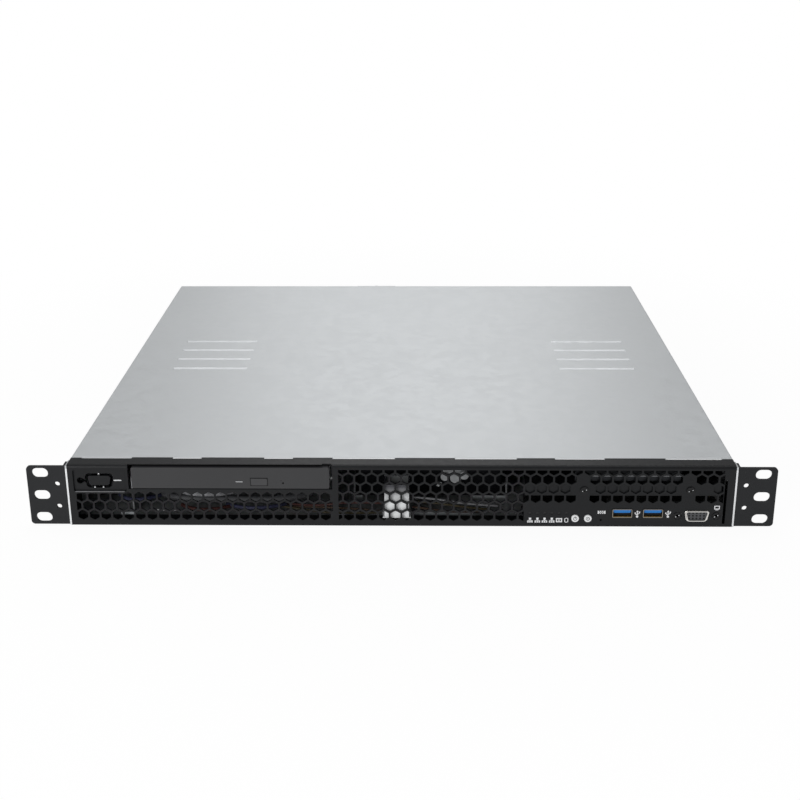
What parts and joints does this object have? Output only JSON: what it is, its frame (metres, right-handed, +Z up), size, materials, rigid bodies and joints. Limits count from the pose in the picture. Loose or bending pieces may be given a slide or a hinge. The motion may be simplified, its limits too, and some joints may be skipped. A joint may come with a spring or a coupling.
{
  "type": "1u rack server",
  "caption": "Short rack server with a perforated black front panel, optical drive, front connectors, rack ears and a galvanised cover that slides off.",
  "frame": {"origin": "under the middle of the whole server, on the plane of its underside", "axes": "+X to the right seen from the front, +Y from the front face to the rear, +Z up"},
  "size_m": [0.4826, 0.3867, 0.043],
  "materials": {
    "galvanised_steel": "satin zinc coated sheet",
    "black_paint": "fine textured black powder coat",
    "black_screw": "black oxide",
    "zinc_screw": "bright zinc",
    "brass_post": "plain",
    "black_plastic": "fine grain",
    "fan_plastic": "plain",
    "white_plastic": "plain",
    "clear_plastic": "clear light pipe",
    "blue_plastic": "plain",
    "grey_plastic": "plain",
    "ivory_plastic": "plain",
    "tin_plate": "tin plated",
    "circuit_board": "solder mask",
    "aluminium": "extruded",
    "cast_aluminium": "die cast",
    "cable_sleeve": "plain"
  },
  "bodies": {
    "chassis": {"chassis_tray": "galvanised_steel", "front_panel": "black_paint", "rack_ear_left": "black_paint", "rack_ear_right": "black_paint", "black_screws": "black_screw", "drive_shelf": "galvanised_steel", "optical_drive_case": "galvanised_steel", "io_bracket": "black_paint", "io_board": "circuit_board", "io_switches": "grey_plastic", "light_pipes": "clear_plastic", "usb_shells": "tin_plate", "usb_tongues": "blue_plastic", "vga_shell": "tin_plate", "vga_insert": "grey_plastic", "vga_jacks": "tin_plate", "solid_state_drive": "cast_aluminium", "front_drive_cradle": "galvanised_steel", "front_drive_case": "cast_aluminium", "front_drive_lid": "aluminium", "rear_drive_cradle": "galvanised_steel", "rear_drive_case": "cast_aluminium", "rear_drive_lid": "aluminium", "fan_bracket": "galvanised_steel", "fan_frame_1": "fan_plastic", "fan_frame_2": "fan_plastic", "fan_frame_3": "fan_plastic", "motherboard": "circuit_board", "board_standoffs": "brass_post", "board_screws": "zinc_screw", "cpu_socket": "tin_plate", "heatsink": "aluminium", "memory_sockets": "ivory_plastic", "memory_module_1": "circuit_board", "memory_module_2": "circuit_board", "rear_ports": "tin_plate", "rear_shield": "tin_plate", "psu_case": "galvanised_steel", "psu_lid": "galvanised_steel", "psu_inlet": "black_plastic", "psu_fan_frame": "fan_plastic", "harness_power": "cable_sleeve", "harness_front": "cable_sleeve", "harness_drive": "cable_sleeve", "harness_plugs": "ivory_plastic"},
    "top_cover": {"top_cover": "galvanised_steel"},
    "thumbscrew_washer": {"thumbscrew_washer": "black_plastic"},
    "cover_thumbscrew": {"cover_thumbscrew": "zinc_screw"},
    "optical_drive_tray": {"optical_drive_tray": "black_plastic"},
    "eject_button": {"eject_button": "black_plastic"},
    "disc_spindle": {"disc_spindle": "tin_plate"},
    "laser_sled": {"laser_sled": "grey_plastic"},
    "power_button": {"power_button": "white_plastic"},
    "location_button": {"location_button": "white_plastic"},
    "reset_plunger": {"reset_plunger": "black_plastic"},
    "fan_rotor_1": {"fan_rotor_1": "fan_plastic"},
    "fan_rotor_2": {"fan_rotor_2": "fan_plastic"},
    "fan_rotor_3": {"fan_rotor_3": "fan_plastic"},
    "psu_fan_rotor": {"psu_fan_rotor": "fan_plastic"},
    "psu_switch": {"psu_switch": "black_plastic"}
  },
  "joints": [
    {"name": "cover_slide", "type": "slide", "parent": "chassis", "child": "top_cover", "axis": [0, 1, 0], "range_m": [0, 0.33]},
    {"name": "thumbscrew_back_out", "type": "slide", "parent": "top_cover", "child": "thumbscrew_washer", "axis": [0, 1, 0], "range_m": [0, 0.002]},
    {"name": "thumbscrew_turn", "type": "hinge", "parent": "thumbscrew_washer", "child": "cover_thumbscrew", "pos_m": [-0.0277, 0.18855, 0.037], "axis": [0, 1, 0], "range_deg": [0, 1440]},
    {"name": "tray_slide", "type": "slide", "parent": "chassis", "child": "optical_drive_tray", "axis": [0, -1, 0], "range_m": [0, 0.12]},
    {"name": "eject_press", "type": "slide", "parent": "optical_drive_tray", "child": "eject_button", "axis": [0, 1, 0], "range_m": [0, 0.0006], "stiffness_N_per_m": 1500},
    {"name": "disc_turn", "type": "hinge", "parent": "optical_drive_tray", "child": "disc_spindle", "pos_m": [-0.1096, -0.12585, 0.0298], "axis": [0, 0, 1], "continuous": true},
    {"name": "sled_slide", "type": "slide", "parent": "optical_drive_tray", "child": "laser_sled", "axis": [1, 0, 0], "range_m": [0, 0.014]},
    {"name": "power_press", "type": "slide", "parent": "chassis", "child": "power_button", "axis": [0, 1, 0], "range_m": [0, 0.0005], "stiffness_N_per_m": 3000},
    {"name": "location_press", "type": "slide", "parent": "chassis", "child": "location_button", "axis": [0, 1, 0], "range_m": [0, 0.0005], "stiffness_N_per_m": 3000},
    {"name": "reset_press", "type": "slide", "parent": "chassis", "child": "reset_plunger", "axis": [0, 1, 0], "range_m": [0, 0.0005], "stiffness_N_per_m": 3000},
    {"name": "fan_1_turn", "type": "hinge", "parent": "chassis", "child": "fan_rotor_1", "pos_m": [0.066, -0.00545, 0.021], "axis": [0, 1, 0], "continuous": true},
    {"name": "fan_2_turn", "type": "hinge", "parent": "chassis", "child": "fan_rotor_2", "pos_m": [0.118, -0.00545, 0.021], "axis": [0, 1, 0], "continuous": true},
    {"name": "fan_3_turn", "type": "hinge", "parent": "chassis", "child": "fan_rotor_3", "pos_m": [0.17, -0.00545, 0.021], "axis": [0, 1, 0], "continuous": true},
    {"name": "psu_fan_turn", "type": "hinge", "parent": "chassis", "child": "psu_fan_rotor", "pos_m": [-0.181, 0.17655, 0.02], "axis": [0, 1, 0], "continuous": true},
    {"name": "psu_switch_tilt", "type": "hinge", "parent": "chassis", "child": "psu_switch", "pos_m": [-0.131, 0.18505, 0.034], "axis": [1, 0, 0], "range_deg": [0, 16]}
  ],
  "couplings": [
    {"joint": "thumbscrew_turn", "follows": "thumbscrew_back_out", "rad_per_m": 12566}
  ]
}
